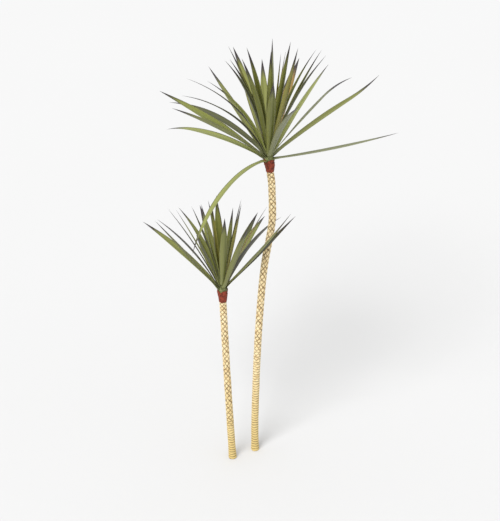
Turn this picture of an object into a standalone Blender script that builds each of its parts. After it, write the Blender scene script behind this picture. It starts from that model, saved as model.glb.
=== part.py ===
"""Dragon tree: two bare stems that rise side by side from one root, each with a head of sword-shaped leaves.

Metres, +Z up, the front towards -Y. The origin is the middle of the taller stem's flat cut at ground level.
Each leaf is worked out from where its tip shows in the front view, how long it is and how far it bends. The
steeper it stands, the higher up its head it springs, and it gives way to the leaves that are there already.
"""

import itertools
import math
from dataclasses import dataclass

import bmesh
import bpy
from mathutils import Quaternion, Vector
from mathutils.bvhtree import BVHTree

# The front view, in which the plant's sizes are read: from in front and above, looking down at this tilt
VIEWPOINT = Vector((-0.0225, -6.172, 4.697))
VIEW_TILT = math.radians(31)
VIEW_RIGHT = Vector((1, 0, 0))
VIEW_UP = Vector((0, math.sin(VIEW_TILT), math.cos(VIEW_TILT)))

# Stems, which narrow slightly upwards and flare at the ground
STEM_FOOT_RADIUS = 0.0156
STEM_TOP_RADIUS = 0.0150
FLARE = 0.0022
FLARE_HEIGHT = 0.045
STEM_SIDES = 16
STEM_RINGS = 24

# Rust-red collars under the heads
COLLAR_FOOT_RADIUS = 0.0160
COLLAR_TOP_RADIUS = 0.0225
COLLAR_SWELL = 1.6
COLLAR_RINGS = 4

# Heads, which the leaves spring from, with a low point in the middle of the top
HEAD_SIDES = 32
HEAD_RINGS = 6
HEAD_TAPER = 1.5
HEAD_POINT = 0.4  # of its top radius

# Leaves
LEAF_SEGMENTS = 12
LEAF_THICKNESS = 0.0102  # of its length, at the midrib
CHANNEL_DEPTH = 0.085  # of its width
FOOT_WIDTH = 0.46  # of its width
WIDEST_AT = 0.5  # of its length
TIP_POWER = 1.6
CURL_FROM = 0.7  # of its length
TWISTED_BY = 0.4  # of its length
YOUNG_LEAF_WIDTH = 0.78  # of a spread leaf's
YOUNG_LEAF_ROOT = 0.012  # length sunk in the head
STEEPEST = math.radians(89)
FOOT_ROUNDS = 3

# How a leaf gives way: by steps of its bend, its length and its height up the head, at most so many of each
BEND_STEP = math.radians(3)
LENGTH_STEP = 0.015  # of its length
HEIGHT_STEP = 0.0015
MOST_STEPS = (5, 3, 7)

# Clearance between pieces that touch, and the room that a leaf looks for all round itself
GAP = 0.0003
LEAF_ROOM = 0.0008

# Shading and plain colours, linear
SHARP_EDGE = math.radians(40)
BARK_COLOUR = (0.52, 0.42, 0.26)
LEAF_BASE_COLOUR = (0.27, 0.075, 0.035)
LEAF_COLOUR = (0.13, 0.19, 0.05)
YOUNG_LEAF_COLOUR = (0.19, 0.21, 0.07)


@dataclass(frozen=True)
class Tip:
    """A leaf's tip in the front view: metres right of its head's foot and up from it, square to the view.

    The leaf falls by bend degrees on its way there, its end turns up again by curl degrees, and it twists
    about its own line by twist degrees. It leans towards the viewer unless it leans away, and has its head's
    usual length unless one is given.
    """

    across: float
    up: float
    bend: float
    away: bool = False
    length: float = 0
    curl: float = 0
    twist: float = 0


def turned(bend, curl, share):
    """How far a leaf of this bend and curl has turned upwards at this share of its length."""
    return curl * max(0, share - CURL_FROM) / (1 - CURL_FROM) - bend * share


@dataclass(frozen=True)
class Leaf:
    """A leaf: its azimuth from +X, its rise above level at its foot, its bend, curl and twist, all in radians,
    its length, its greatest width, and the height up the head that it springs at."""

    azimuth: float
    rise: float
    bend: float
    curl: float
    twist: float
    length: float
    width: float
    height: float

    def heading(self, share):
        """The leaf's direction, sideways and upper-face vectors at this share of its length."""
        rise = self.rise + turned(self.bend, self.curl, share)
        level = Vector((math.cos(self.azimuth), math.sin(self.azimuth), 0))
        ahead = level * math.cos(rise) + Vector((0, 0, math.sin(rise)))
        twisted = Quaternion(ahead, self.twist * min(share / TWISTED_BY, 1))
        sideways = twisted @ Vector((-level.y, level.x, 0))
        return ahead, sideways, ahead.cross(sideways)


@dataclass(frozen=True)
class Head:
    """A head: its foot, height, radii at foot and top, its leaves' width and usual length, the heights that
    they spring between, how many of the steepest are young ones, above the others, and their tips."""

    foot: Vector
    height: float
    foot_radius: float
    top_radius: float
    leaf_width: float
    leaf_length: float
    lowest: float
    highest: float
    young: int
    tips: tuple

    def radius(self, height):
        """The head's radius at this height."""
        share = max(0, min(height / self.height, 1))
        return self.foot_radius - (self.foot_radius - self.top_radius) * share**HEAD_TAPER

    def leaf_foot(self, leaf):
        """Where this leaf's centre line starts, with the leaf's face just clear of the head."""
        thickest = LEAF_THICKNESS * leaf.length / 2 * math.sqrt(FOOT_WIDTH)
        inwards = thickest - CHANNEL_DEPTH * leaf.width * FOOT_WIDTH
        radius = self.radius(leaf.height) + GAP + inwards * math.sin(leaf.rise)
        level = Vector((math.cos(leaf.azimuth), math.sin(leaf.azimuth), 0))
        return self.foot + level * radius + Vector((0, 0, leaf.height))


AWAY = True

# The lines of the stems, the taller with a sway below its head
TALL_STEM_LINE = (
    Vector((0, 0, 0)),
    Vector((0, 0, 0.200)),
    Vector((0.012, 0, 0.585)),
    Vector((0.0345, 0, 0.929)),
    Vector((0.066, 0, 1.147)),
    Vector((0.070, 0, 1.235)),
    Vector((0.066, 0, 1.356)),
    Vector((0.059, 0, 1.414)),
)
SHORT_STEM_LINE = (
    Vector((-0.100, -0.059, 0)),
    Vector((-0.112, -0.059, 0.240)),
    Vector((-0.124, -0.059, 0.500)),
    Vector((-0.137, -0.059, 0.825)),
)

# The heads and the tips of their leaves
TALL_HEAD = Head(
    foot=Vector((0.053, 0, 1.460)),
    height=0.060,
    foot_radius=0.0201,
    top_radius=0.0101,
    leaf_width=0.036,
    leaf_length=0.55,
    lowest=0.009,
    highest=0.047,
    young=15,
    tips=(
        # Low leaves behind, from left to right
        Tip(-0.415, 0.128, 30, AWAY, curl=-8, twist=-6),
        Tip(-0.405, 0.238, 45, AWAY),
        Tip(-0.245, 0.385, 5, AWAY, twist=20),
        Tip(-0.145, 0.465, 20, AWAY),
        Tip(-0.120, 0.380, 20, AWAY),
        Tip(-0.075, 0.330, 15, AWAY),
        Tip(-0.027, 0.415, 10, AWAY, 0.45),
        Tip(0.090, 0.365, 10, AWAY),
        Tip(0.125, 0.420, 20, AWAY),
        Tip(0.245, 0.395, 15, AWAY, twist=-30),
        Tip(0.450, 0.350, 14, AWAY, 0.56, curl=20, twist=-4),
        # Leaves at the left and in front, outermost first
        Tip(-0.310, -0.380, 80, length=0.57, twist=22),
        Tip(-0.445, 0.285, 10, twist=-35),
        Tip(-0.395, 0.215, 20, twist=-20),
        Tip(-0.355, 0.265, 45, twist=6),
        Tip(-0.335, 0.335, 40, twist=6),
        Tip(-0.250, 0.325, 30),
        Tip(-0.180, 0.410, 30),
        Tip(-0.160, 0.415, 25, length=0.52),
        Tip(-0.165, 0.468, 15),
        Tip(-0.110, 0.418, 20),
        Tip(-0.090, 0.462, 20),
        # Short leaves in the middle
        Tip(0.010, 0.448, 0, length=0.45),
        Tip(0.018, 0.498, 0, length=0.48),
        Tip(0.050, 0.440, 0, length=0.43),
        Tip(0.070, 0.448, 5, length=0.44),
        # Leaves in front and at the right, outermost last
        Tip(0.020, 0.320, 15),
        Tip(0.125, 0.220, 28, twist=10),
        Tip(0.090, 0.485, 5),
        Tip(0.120, 0.460, 0),
        Tip(0.195, 0.455, 20),
        Tip(0.217, 0.453, 12, twist=-8),
        Tip(0.235, 0.430, 20, twist=-8),
        Tip(0.340, 0.340, 6, curl=-18, twist=20),
        Tip(0.530, 0.115, -7, twist=-4),
    ),
)
SHORT_HEAD = Head(
    foot=Vector((-0.139, -0.059, 0.871)),
    height=0.052,
    foot_radius=0.0191,
    top_radius=0.0091,
    leaf_width=0.034,
    leaf_length=0.44,
    lowest=0.0065,
    highest=0.044,
    young=8,
    tips=(
        # Low leaves behind, from left to right
        Tip(-0.335, 0.295, 20, AWAY, 0.455),
        Tip(-0.110, 0.240, 15, AWAY),
        Tip(-0.095, 0.365, 20, AWAY),
        Tip(-0.015, 0.355, 20, AWAY),
        Tip(0.150, 0.335, 20, AWAY),
        Tip(0.180, 0.320, 30, AWAY),
        Tip(0.250, 0.315, 50, AWAY, 0.455, twist=-28),
        # Leaves at the left, outermost first
        Tip(-0.285, 0.300, 5),
        Tip(-0.275, 0.305, 24),
        Tip(-0.230, 0.350, 16, twist=10),
        Tip(-0.195, 0.345, 8),
        Tip(-0.185, 0.355, 22, length=0.46, twist=30),
        Tip(-0.130, 0.360, 10),
        Tip(-0.090, 0.370, 5),
        # Short leaves in the middle
        Tip(-0.060, 0.385, 10, length=0.42),
        Tip(-0.045, 0.370, 0, length=0.40),
        Tip(-0.025, 0.405, 0, length=0.38),
        Tip(0.045, 0.355, 0, length=0.41),
        Tip(0.080, 0.370, 0, length=0.42),
        Tip(0.080, 0.390, 5, length=0.42),
        # Leaves in front and at the right, outermost last
        Tip(0.010, 0.310, 0),
        Tip(0.110, 0.270, 5),
        Tip(0.190, 0.360, 10),
        Tip(0.290, 0.330, -12),
        Tip(0.310, 0.320, 0, twist=8),
    ),
)


def clear_scene():
    for old in list(bpy.data.objects):
        bpy.data.objects.remove(old)


def finish(name, colour, roughness):
    """A plain material of this linear colour."""
    material = bpy.data.materials.new(name)
    material.use_nodes = True
    shader = material.node_tree.nodes["Principled BSDF"]
    shader.inputs["Base Color"].default_value = (*colour, 1)
    shader.inputs["Roughness"].default_value = roughness
    shader.inputs["Metallic"].default_value = 0
    return material


def tube(rings, tip=None):
    """The points and faces of a tube through these rings, closed to a point where a tip is given."""
    sides = len(rings[0])
    points = [point for ring in rings for point in ring]
    faces = []
    for lower in range(0, len(points) - sides, sides):
        for i in range(sides):
            j = (i + 1) % sides
            faces.append((lower + i, lower + j, lower + sides + j, lower + sides + i))
    if tip is not None:
        last = len(points) - sides
        faces += [(last + i, last + (i + 1) % sides, len(points)) for i in range(sides)]
        points.append(tip)
    return points, faces


def skin(name, foot, rings, material, tip=None):
    """One closed body, with its origin at foot, through rings of points that run from its foot to its end.

    It ends in a flat face on the last ring, or in a point where a tip is given.
    """
    points, faces = tube(rings, tip)
    sides = len(rings[0])
    faces.append(tuple(reversed(range(sides))))
    if tip is None:
        faces.append(tuple(range(len(points) - sides, len(points))))
    mesh = bpy.data.meshes.new(name)
    mesh.from_pydata([point - foot for point in points], [], faces)
    mesh.materials.append(material)
    mesh.shade_smooth()
    mesh.set_sharp_from_angle(angle=SHARP_EDGE)
    body = bpy.data.objects.new(name, mesh)
    body.location = foot
    bpy.context.scene.collection.objects.link(body)
    return body


def level_ring(centre, radius, sides):
    """A level circle of points, anticlockwise seen from above."""
    angles = [2 * math.pi * i / sides for i in range(sides)]
    return [centre + Vector((radius * math.cos(angle), radius * math.sin(angle), 0)) for angle in angles]


def smooth_point(points, share):
    """The point at this share of a smooth curve that passes through all of the points."""
    place = share * (len(points) - 1)
    index = min(int(place), len(points) - 2)
    part = place - index
    before = points[max(index - 1, 0)]
    start, end = points[index], points[index + 1]
    after = points[min(index + 2, len(points) - 1)]
    return (
        start * 2
        + (end - before) * part
        + (before * 2 - start * 5 + end * 4 - after) * part**2
        + (start * 3 - before - end * 3 + after) * part**3
    ) / 2


def stem_rings(line):
    """The rings of a stem along this line, from its flat cut at ground level to its collar's level seat."""
    rings = []
    for i in range(STEM_RINGS + 1):
        share = i / STEM_RINGS
        centre = smooth_point(line, share)
        radius = STEM_FOOT_RADIUS + (STEM_TOP_RADIUS - STEM_FOOT_RADIUS) * share
        radius += FLARE * math.exp(-centre.z / FLARE_HEIGHT)
        rings.append(level_ring(centre, radius, STEM_SIDES))
    return rings


def collar_rings(foot, top):
    """The rings of the old leaf bases that swell from the stem's end to the head's foot."""
    foot = foot + Vector((0, 0, GAP))
    top = top - Vector((0, 0, GAP))
    rings = []
    for i in range(COLLAR_RINGS + 1):
        share = i / COLLAR_RINGS
        radius = COLLAR_FOOT_RADIUS + (COLLAR_TOP_RADIUS - COLLAR_FOOT_RADIUS) * share**COLLAR_SWELL
        rings.append(level_ring(foot.lerp(top, share), radius, HEAD_SIDES))
    return rings


def head_core(name, head, material):
    """The head's solid middle, which the leaves stand against."""
    rings = []
    for i in range(HEAD_RINGS + 1):
        height = head.height * i / HEAD_RINGS
        rings.append(level_ring(head.foot + Vector((0, 0, height)), head.radius(height), HEAD_SIDES))
    top = head.foot + Vector((0, 0, head.height + head.top_radius * HEAD_POINT))
    return skin(name, head.foot, rings, material, top)


def leaf_to(head, tip, height, bend_more=0, length_share=1, width_share=1):
    """The leaf that springs at this height and whose tip shows where the front view has it.

    The line of sight through that place meets the leaf's reach from its foot twice, once on each side.
    """
    spot = head.foot + VIEW_RIGHT * tip.across + VIEW_UP * tip.up
    sight = (spot - VIEWPOINT).normalized()
    bend = math.radians(tip.bend) + bend_more
    curl = math.radians(tip.curl)
    twist = math.radians(tip.twist)
    length = (tip.length or head.leaf_length) * length_share
    width = head.leaf_width * width_share
    turns = [turned(bend, curl, (i + 0.5) / LEAF_SEGMENTS) for i in range(LEAF_SEGMENTS)]
    straight = sum(math.cos(turn) for turn in turns) / LEAF_SEGMENTS
    raised = sum(math.sin(turn) for turn in turns) / LEAF_SEGMENTS
    reach = length * math.hypot(straight, raised)
    foot = head.foot + Vector((0, 0, height))
    for _ in range(FOOT_ROUNDS):
        along = (foot - VIEWPOINT).dot(sight)
        aside = (VIEWPOINT + sight * along - foot).length
        deep = math.sqrt(max(reach**2 - aside**2, 0))
        chord = VIEWPOINT + sight * (along + (deep if tip.away else -deep)) - foot
        rise = math.asin(chord.z / chord.length) - math.atan2(raised, straight)
        leaf = Leaf(math.atan2(chord.y, chord.x), rise, bend, curl, twist, length, width, height)
        foot = head.leaf_foot(leaf)
    return leaf


def leaf_width_share(share):
    """The leaf's width at this share of its length, against its greatest width."""
    widening = FOOT_WIDTH + (1 - FOOT_WIDTH) * math.sin(math.pi / 2 * min(share / WIDEST_AT, 1))
    past_widest = max(0, (share - WIDEST_AT) / (1 - WIDEST_AT))
    return widening * (1 - past_widest**TIP_POWER)


def leaf_rings(leaf, head, sunk=0, room=0):
    """The rings and the tip of a channelled blade, thickest at its midrib, with this much room round it."""
    centres = [head.leaf_foot(leaf)]
    for i in range(LEAF_SEGMENTS):
        ahead = leaf.heading((i + 0.5) / LEAF_SEGMENTS)[0]
        centres.append(centres[-1] + ahead * leaf.length / LEAF_SEGMENTS)
    rings = []
    for i, centre in enumerate(centres[:-1]):
        share = i / LEAF_SEGMENTS
        ahead, sideways, upward = leaf.heading(share)
        wide = leaf_width_share(share)
        edge = sideways * (leaf.width / 2 * wide + room)
        rib = centre - upward * CHANNEL_DEPTH * leaf.width * wide
        thick = upward * (LEAF_THICKNESS * leaf.length / 2 * math.sqrt(wide) + room)
        ring = [centre - edge, rib - thick, centre + edge, rib + thick]
        if i == 0 and sunk:
            rings.append([point - ahead * sunk for point in ring])
        rings.append(ring)
    return rings, centres[-1]


def surface(rings, tip=None):
    """A surface through these rings that others can be tested against."""
    points, faces = tube(rings, tip)
    return BVHTree.FromPolygons(points, faces)


def ways_to_give():
    """Steps of bend, length and height that a leaf may give way by, the least first."""
    ways = itertools.product(*(range(-most, most + 1) for most in MOST_STEPS))
    return sorted(ways, key=lambda way: sum(step * step for step in way))


def settle(head, tip, height, taken):
    """The leaf to this tip that clears every surface there already, changed as little as that takes."""
    for bend_steps, length_steps, height_steps in ways_to_give():
        springing = height + HEIGHT_STEP * height_steps
        if not head.lowest <= springing <= head.height:
            continue
        leaf = leaf_to(head, tip, springing, BEND_STEP * bend_steps, 1 + LENGTH_STEP * length_steps)
        if leaf.rise > STEEPEST:
            continue
        wanted = surface(*leaf_rings(leaf, head, room=LEAF_ROOM))
        if not any(wanted.overlap(other) for other in taken):
            return leaf
    return None


def even_heights(lowest, highest, count):
    """This many heights, evenly spread from the lowest to the highest."""
    return [lowest + (highest - lowest) * i / (count - 1) for i in range(count)]


def grow(head, taken):
    """The head's spread leaves, from the lowest up, and its young ones. One that finds no room is left out."""
    middle = (head.lowest + head.highest) / 2
    tips = sorted(head.tips, key=lambda tip: leaf_to(head, tip, middle).rise)
    older, younger = tips[: -head.young], tips[-head.young :]
    young = []
    for tip, height in zip(younger, even_heights(head.highest, head.height, head.young)):
        young.append(leaf_to(head, tip, height, width_share=YOUNG_LEAF_WIDTH))
        taken.append(surface(*leaf_rings(young[-1], head, YOUNG_LEAF_ROOT)))
    spread = []
    heights = even_heights(head.lowest, head.highest, len(older))
    for tip, height in reversed(list(zip(older, heights))):
        leaf = settle(head, tip, height, taken)
        if leaf:
            spread.insert(0, leaf)
            taken.append(surface(*leaf_rings(leaf, head)))
    return spread, young


def fill_hollows(body):
    """Drop every shell but the largest, so that the body is solid where joined leaves had sealed a space."""
    shape = bmesh.new()
    shape.from_mesh(body.data)
    left = set(shape.verts)
    shells = []
    while left:
        shell = {left.pop()}
        newest = shell
        while newest:
            newest = {edge.other_vert(vert) for vert in newest for edge in vert.link_edges} - shell
            shell = shell | newest
        left -= shell
        shells.append(shell)
    shells.sort(key=len)
    for shell in shells[:-1]:
        bmesh.ops.delete(shape, geom=list(shell), context="VERTS")
    shape.to_mesh(body.data)
    shape.free()


def fuse(core, others):
    """Join the others to the core as one closed body and remove them."""
    group = bpy.data.collections.new("joined")
    bpy.context.scene.collection.children.link(group)
    for other in others:
        bpy.context.scene.collection.objects.unlink(other)
        group.objects.link(other)
    union = core.modifiers.new("union", "BOOLEAN")
    union.operation = "UNION"
    union.operand_type = "COLLECTION"
    union.collection = group
    union.solver = "EXACT"
    bpy.context.view_layer.objects.active = core
    bpy.ops.object.modifier_apply(modifier=union.name)
    for other in others:
        bpy.data.objects.remove(other)
    bpy.data.collections.remove(group)
    fill_hollows(core)


def leaf_body(name, leaf, head, material, sunk=0):
    """A leaf as one closed body that ends in a fine point."""
    rings, tip = leaf_rings(leaf, head, sunk)
    return skin(name, head.leaf_foot(leaf), rings, material, tip)


def crown(name, head, taken, leaf_material, young_material):
    """A head with its young leaves fused to it, and the spread leaves round it as bodies of their own."""
    spread, young = grow(head, taken)
    core = head_core(f"{name}_heart", head, young_material)
    fuse(core, [leaf_body("young", leaf, head, young_material, YOUNG_LEAF_ROOT) for leaf in young])
    for number, leaf in enumerate(spread, start=1):
        leaf_body(f"{name}_leaf_{number:02}", leaf, head, leaf_material)


def plant(name, line, head, taken, materials):
    """One stem with its collar and its crown, which keeps clear of the surfaces there already."""
    stem = stem_rings(line)
    collar = collar_rings(line[-1], head.foot)
    skin(f"{name}_stem", line[0], stem, materials["bark"])
    skin(f"{name}_collar", line[-1], collar, materials["leaf base"])
    taken += [surface(stem), surface(collar)]
    crown(name, head, taken, materials["leaf"], materials["young leaf"])


def main():
    clear_scene()
    materials = {
        "bark": finish("pale ringed bark", BARK_COLOUR, roughness=0.75),
        "leaf base": finish("rust red leaf bases", LEAF_BASE_COLOUR, roughness=0.7),
        "leaf": finish("olive green leaf", LEAF_COLOUR, roughness=0.45),
        "young leaf": finish("young red-edged leaf", YOUNG_LEAF_COLOUR, roughness=0.45),
    }
    taken = []
    plant("tall", TALL_STEM_LINE, TALL_HEAD, taken, materials)
    plant("short", SHORT_STEM_LINE, SHORT_HEAD, taken, materials)


main()
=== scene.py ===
"""Looks of the dragon tree: its ringed stems, rust-red old leaf bases and sword-shaped leaves.

Metres, +Z up, the front towards -Y, as in the frame. The leaves are worked out by the same rule as their solids:
each from where its tip shows in the front view, its length and its bend, giving way to those there already.
"""

import itertools
import logging
import math
from collections.abc import Callable, Sequence
from dataclasses import dataclass
from enum import Enum
from typing import Any

import bpy
import numpy as np
from mathutils import Matrix, Quaternion, Vector
from mathutils.bvhtree import BVHTree


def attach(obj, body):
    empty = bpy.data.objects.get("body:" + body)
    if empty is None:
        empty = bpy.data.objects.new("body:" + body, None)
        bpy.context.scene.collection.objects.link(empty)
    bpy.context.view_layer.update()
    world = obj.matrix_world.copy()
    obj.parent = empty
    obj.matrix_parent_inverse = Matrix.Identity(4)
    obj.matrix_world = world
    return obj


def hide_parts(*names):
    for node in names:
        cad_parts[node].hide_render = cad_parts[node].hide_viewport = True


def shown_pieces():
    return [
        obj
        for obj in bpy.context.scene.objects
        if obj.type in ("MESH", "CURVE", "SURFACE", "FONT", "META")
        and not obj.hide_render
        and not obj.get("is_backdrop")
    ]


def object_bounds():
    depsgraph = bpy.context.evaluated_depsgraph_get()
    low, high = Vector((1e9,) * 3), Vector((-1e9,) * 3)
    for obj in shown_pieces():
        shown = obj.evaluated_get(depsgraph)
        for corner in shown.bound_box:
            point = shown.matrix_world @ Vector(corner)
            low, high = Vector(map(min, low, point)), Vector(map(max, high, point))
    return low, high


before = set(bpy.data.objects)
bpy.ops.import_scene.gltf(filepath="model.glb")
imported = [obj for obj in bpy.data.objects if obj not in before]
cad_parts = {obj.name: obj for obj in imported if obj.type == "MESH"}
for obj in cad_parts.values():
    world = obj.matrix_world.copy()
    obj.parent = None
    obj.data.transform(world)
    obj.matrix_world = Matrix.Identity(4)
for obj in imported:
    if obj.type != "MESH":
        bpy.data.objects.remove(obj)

LOG = logging.getLogger("dragon tree")

# The front view: from in front and above, looking down at this tilt, for an image of this size
VIEWPOINT = Vector((-0.0225, -6.172, 4.697))
VIEW_TILT = math.radians(31)
VIEW_RIGHT = Vector((1, 0, 0))
VIEW_UP = Vector((0, math.sin(VIEW_TILT), math.cos(VIEW_TILT)))
IMAGE_HEIGHT = 521  # pixels, the longer side
FOCAL_PIXELS = 1714
SENSOR = 36.0  # mm, over the longer side

MILLIMETRE = 0.001
NEATLY_BAKED = "OFBake"
BLADE_MAP = "blade"

Points = list[Vector]
Rings = list[Points]


# Colours and shader nodes


def linear(colour: str) -> tuple[float, float, float, float]:
    """Turn an sRGB hex colour into linear RGBA.

    Args:
        colour: Six hex digits after a hash, such as "#7c8b3f".

    Returns:
        The linear red, green, blue and an alpha of 1.
    """
    channels = [int(colour[i : i + 2], 16) / 255 for i in (1, 3, 5)]
    red, green, blue = (c / 12.92 if c <= 0.04045 else ((c + 0.055) / 1.055) ** 2.4 for c in channels)
    return red, green, blue, 1.0


def add_node(tree: bpy.types.NodeTree, kind: str, inputs: dict | None = None, **settings: Any) -> Any:
    """Add a shader node with its settings and what its inputs take.

    Args:
        tree: The material's node tree.
        kind: The node's type name.
        inputs: For each input, by name or number, a value or the output to link to it.
        settings: The node's own settings.

    Returns:
        The new node.
    """
    node = tree.nodes.new(kind)
    for name, value in settings.items():
        setattr(node, name, value)
    for name, value in (inputs or {}).items():
        if isinstance(value, bpy.types.NodeSocket):
            tree.links.new(value, node.inputs[name])
        else:
            node.inputs[name].default_value = value
    return node


def new_material(name: str, roughness: float, specular: float) -> tuple[bpy.types.Material, Any, Any]:
    """Make a material with a shader of this roughness and specular level.

    Returns:
        The material, its node tree and its Principled shader.
    """
    material = bpy.data.materials.new(name)
    material.use_nodes = True
    tree = material.node_tree
    shader = tree.nodes["Principled BSDF"]
    shader.inputs["Roughness"].default_value = roughness
    shader.inputs["Specular IOR Level"].default_value = specular
    shader.inputs["Metallic"].default_value = 0.0
    return material, tree, shader


# Finishes


@dataclass(frozen=True)
class BarkFinish:
    """Corky living bark, grown in plates between the scars of fallen leaves: matt, cream to straw yellow, with
    brown in the scars, and yellower near the ground."""

    plate: str = "#f2dfb2"
    plate_tan: str = "#d3b783"
    foot_plate: str = "#d3bb7a"
    seam: str = "#664a28"
    seam_deep: str = "#2e1f10"
    foot_height: float = 0.50
    blotch: float = 16 * MILLIMETRE
    grit: float = 1.6 * MILLIMETRE
    roughness: float = 0.82

    def make(self) -> bpy.types.Material:
        """Make the bark, which reads how deep in a scar a point lies from the mesh's own attribute."""
        material, tree, shader = new_material("corky ringed bark", self.roughness, specular=0.25)
        place = add_node(tree, "ShaderNodeTexCoord").outputs["Object"]
        seam = add_node(tree, "ShaderNodeAttribute", attribute_name="seam").outputs["Fac"]
        height = add_node(tree, "ShaderNodeSeparateXYZ", {0: place}).outputs["Z"]
        blotches = add_node(
            tree, "ShaderNodeTexNoise", {"Vector": place, "Scale": 1 / self.blotch, "Detail": 3.0}
        ).outputs["Fac"]
        tanned = add_node(
            tree, "ShaderNodeMapRange", {"Value": blotches, "From Min": 0.42, "From Max": 0.72}
        ).outputs["Result"]
        low = add_node(
            tree,
            "ShaderNodeMapRange",
            {"Value": height, "From Min": self.foot_height, "From Max": 0.0},
        ).outputs["Result"]
        upper = add_node(
            tree,
            "ShaderNodeMix",
            {"Factor": tanned, 6: linear(self.plate), 7: linear(self.plate_tan)},
            data_type="RGBA",
        ).outputs[2]
        plates = add_node(
            tree, "ShaderNodeMix", {"Factor": low, 6: upper, 7: linear(self.foot_plate)}, data_type="RGBA"
        ).outputs[2]
        knots = add_node(
            tree, "ShaderNodeMapRange", {"Value": blotches, "From Min": 0.5, "From Max": 0.3}
        ).outputs["Result"]
        seams = add_node(
            tree,
            "ShaderNodeMix",
            {"Factor": knots, 6: linear(self.seam), 7: linear(self.seam_deep)},
            data_type="RGBA",
        ).outputs[2]
        colour = add_node(
            tree, "ShaderNodeMix", {"Factor": seam, 6: plates, 7: seams}, data_type="RGBA"
        ).outputs[2]
        tree.links.new(colour, shader.inputs["Base Color"])
        grit = add_node(
            tree, "ShaderNodeTexNoise", {"Vector": place, "Scale": 1 / self.grit, "Detail": 2.0}
        ).outputs["Fac"]
        bump = add_node(
            tree, "ShaderNodeBump", {"Height": grit, "Strength": 0.5, "Distance": 0.4 * MILLIMETRE}
        )
        tree.links.new(bump.outputs["Normal"], shader.inputs["Normal"])
        return material


@dataclass(frozen=True)
class LeafBaseFinish:
    """Dry old leaf bases, thin husks that clasp the stem: matt brick red, browner in streaky blotches, with fine
    lengthwise fibres."""

    husk: str = "#97412a"
    husk_dark: str = "#4a1d12"
    fibre: float = 1.5 * MILLIMETRE
    blotch: float = 9 * MILLIMETRE
    roughness: float = 0.7

    def make(self) -> bpy.types.Material:
        """Make the husks, with fibres that run up and down."""
        material, tree, shader = new_material("dry rust-red husk", self.roughness, specular=0.3)
        place = add_node(tree, "ShaderNodeTexCoord").outputs["Object"]
        stretched = add_node(
            tree,
            "ShaderNodeMapping",
            {"Vector": place, "Scale": (1 / self.fibre, 1 / self.fibre, 1 / (12 * self.fibre))},
        ).outputs["Vector"]
        fibres = add_node(tree, "ShaderNodeTexNoise", {"Vector": stretched, "Scale": 1.0}).outputs["Fac"]
        blotches = add_node(
            tree, "ShaderNodeTexNoise", {"Vector": place, "Scale": 1 / self.blotch}
        ).outputs["Fac"]
        both = add_node(
            tree, "ShaderNodeMath", {0: fibres, 1: blotches}, operation="MULTIPLY"
        ).outputs["Value"]
        share = add_node(
            tree, "ShaderNodeMapRange", {"Value": both, "From Min": 0.34, "From Max": 0.14}
        ).outputs["Result"]
        colour = add_node(
            tree,
            "ShaderNodeMix",
            {"Factor": share, 6: linear(self.husk), 7: linear(self.husk_dark)},
            data_type="RGBA",
        ).outputs[2]
        tree.links.new(colour, shader.inputs["Base Color"])
        bump = add_node(
            tree, "ShaderNodeBump", {"Height": fibres, "Strength": 0.6, "Distance": 0.4 * MILLIMETRE}
        )
        tree.links.new(bump.outputs["Normal"], shader.inputs["Normal"])
        return material


class Tint(Enum):
    """The plain colours dealt out to the leaves: the blade, and the streaks along it. The darkest two are wholly
    or partly painted shade.
    """

    OLIVE = ("#787b3b", "#61652a")
    BRIGHT = ("#888d48", "#717735")
    # partly the leaf's own darker olive, partly painted shade for leaves that lie in the crown's shade
    DEEP = ("#4b4d27", "#37391a")
    GREY = ("#7e815c", "#666a48")
    YELLOW = ("#8c873f", "#74702f")
    RUSSET = ("#86743a", "#875829")
    # painted shade: near-black, for leaves that show only their shaded undersides and edges
    SHADED = ("#3d3b2c", "#2b2a21")


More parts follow.
